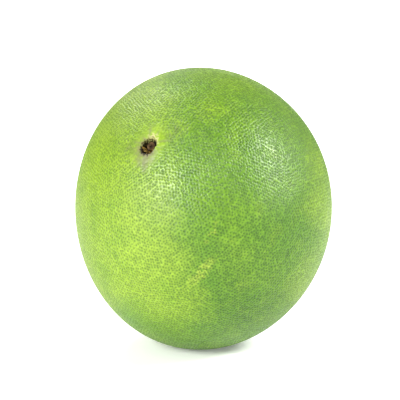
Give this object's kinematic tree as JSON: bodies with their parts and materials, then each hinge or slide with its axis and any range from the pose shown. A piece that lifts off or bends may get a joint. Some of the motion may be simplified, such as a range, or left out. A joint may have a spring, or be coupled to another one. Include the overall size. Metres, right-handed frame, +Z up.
{
  "type": "pomelo",
  "caption": "Whole pomelo with a pitted green-yellow rind, a dried stalk stub sunk in its stem pit, and a small flat spot it rests on.",
  "frame": {"origin": "on the floor under the middle of the fruit's bounding box", "axes": "+Z up, -Y to the front where the stem end tips towards the viewer, +X to the viewer's right"},
  "size_m": [0.15, 0.155, 0.164],
  "materials": {
    "rind": "waxy citrus rind, satin with small oil glands, lime yellow to mid green",
    "stem_wood": "dry, rough, brown stalk wood"
  },
  "bodies": {
    "root": {"fruit": "rind", "stem_stub": "stem_wood"}
  },
  "joints": []
}
